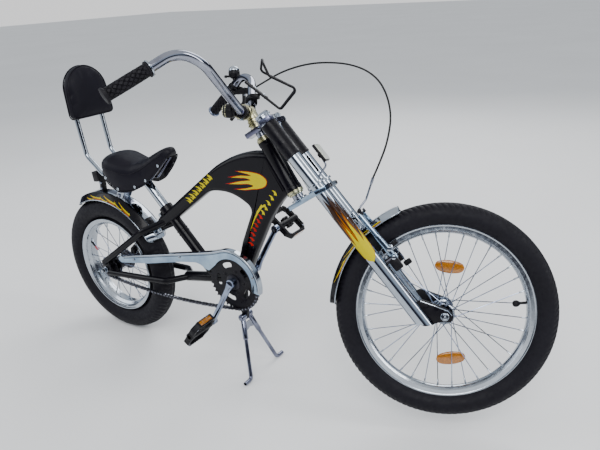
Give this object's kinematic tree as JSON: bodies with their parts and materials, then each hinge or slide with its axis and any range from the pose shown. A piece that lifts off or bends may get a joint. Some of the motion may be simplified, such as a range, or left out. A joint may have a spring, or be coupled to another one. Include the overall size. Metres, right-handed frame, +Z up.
{
  "type": "chopper-style bicycle",
  "caption": "Small-wheeled chopper bicycle with raked twin-crown fork, high bars, backrest saddle and centre stand.",
  "frame": {"origin": "on the floor under the middle of the whole bicycle's bounding box, the cable left out", "axes": "+X forward towards the front wheel, +Y to the rider's left, +Z up"},
  "size_m": [1.5214, 0.6514, 0.915],
  "materials": {
    "frame_paint": "gloss black",
    "black_metal": "satin black",
    "chrome": "bright plated",
    "mudguard_metal": "plated, black sides",
    "brassy_steel": "yellow zinc",
    "rim_metal": "polished",
    "spoke_steel": "plated",
    "tyre_rubber": "matt",
    "vinyl": "smooth black vinyl",
    "grip_rubber": "moulded",
    "black_plastic": "moulded",
    "cable_cover": "smooth"
  },
  "bodies": {
    "frame": {"main_frame": "frame_paint", "head_tube": "frame_paint", "headset_cups": "brassy_steel", "bottom_bracket": "frame_paint", "chainstays": "frame_paint", "seat_tube": "frame_paint", "seatstays": "frame_paint", "seat_clamp": "frame_paint", "seat_post": "chrome", "saddle": "vinyl", "saddle_rails": "chrome", "backrest_bar": "chrome", "backrest_pad": "vinyl", "rear_mudguard": "mudguard_metal", "mudguard_bracket": "frame_paint", "guard_brackets": "chrome", "rear_reflector": "black_plastic", "chain": "black_metal", "chainguard": "chrome", "rear_axle": "black_metal", "stand_bracket": "black_metal"},
    "steering": {"steerer": "chrome", "upper_crown": "chrome", "lower_crown": "chrome", "fork_sleeves": "black_metal", "fork_legs": "chrome", "fork_caps": "chrome", "fork_bridge": "black_metal", "fork_dropouts": "black_metal", "fork_struts": "chrome", "front_axle": "black_metal", "front_mudguard": "mudguard_metal", "stem": "chrome", "handlebar": "chrome", "grip_left": "grip_rubber", "grip_right": "grip_rubber", "brake_lever": "black_plastic", "bell": "chrome", "front_reflector": "black_plastic", "front_brake": "chrome", "brake_noodle": "chrome", "brake_cable": "cable_cover", "bottle_cage": "black_metal", "bar_lamp": "black_plastic"},
    "front_wheel": {"front_tyre": "tyre_rubber", "front_rim": "rim_metal", "front_hub": "chrome", "front_spokes": "spoke_steel"},
    "rear_wheel": {"rear_tyre": "tyre_rubber", "rear_rim": "rim_metal", "rear_hub": "black_metal", "rear_spokes": "spoke_steel"},
    "rear_sprocket": {"rear_sprocket": "black_metal"},
    "crankset": {"crank": "chrome", "chainring": "black_metal"},
    "pedal_right": {"pedal_right": "black_plastic"},
    "pedal_left": {"pedal_left": "black_plastic"},
    "centre_stand": {"centre_stand": "chrome"}
  },
  "joints": [
    {"name": "steering", "type": "hinge", "parent": "frame", "child": "steering", "pos_m": [0.18442, 0.06528, 0.5318], "axis": [-0.5432, 0, 0.8396], "range_deg": [-81.3, 28.7]},
    {"name": "front_wheel_spin", "type": "hinge", "parent": "steering", "child": "front_wheel", "pos_m": [0.52019, 0.13987, 0.29053], "axis": [-0.372, 0.8965, -0.2407], "continuous": true},
    {"name": "rear_wheel_spin", "type": "hinge", "parent": "frame", "child": "rear_wheel", "pos_m": [-0.53628, 0.06528, 0.2244], "axis": [0, 1, 0], "continuous": true},
    {"name": "crank_spin", "type": "hinge", "parent": "frame", "child": "crankset", "pos_m": [-0.02228, 0.06528, 0.293], "axis": [0, 1, 0], "continuous": true},
    {"name": "sprocket_spin", "type": "hinge", "parent": "frame", "child": "rear_sprocket", "pos_m": [-0.53628, 0.02028, 0.2244], "axis": [0, 1, 0], "continuous": true},
    {"name": "pedal_right_spin", "type": "hinge", "parent": "crankset", "child": "pedal_right", "pos_m": [-0.08328, -0.05472, 0.1735], "axis": [0, 1, 0], "continuous": true},
    {"name": "pedal_left_spin", "type": "hinge", "parent": "crankset", "child": "pedal_left", "pos_m": [0.03872, 0.18528, 0.4125], "axis": [0, 1, 0], "continuous": true},
    {"name": "stand_fold", "type": "hinge", "parent": "frame", "child": "centre_stand", "pos_m": [-0.03128, 0.06528, 0.165], "axis": [0, 1, 0], "range_deg": [0, 95]}
  ],
  "couplings": [
    {"joint": "sprocket_spin", "follows": "crank_spin", "ratio": 2.5}
  ]
}
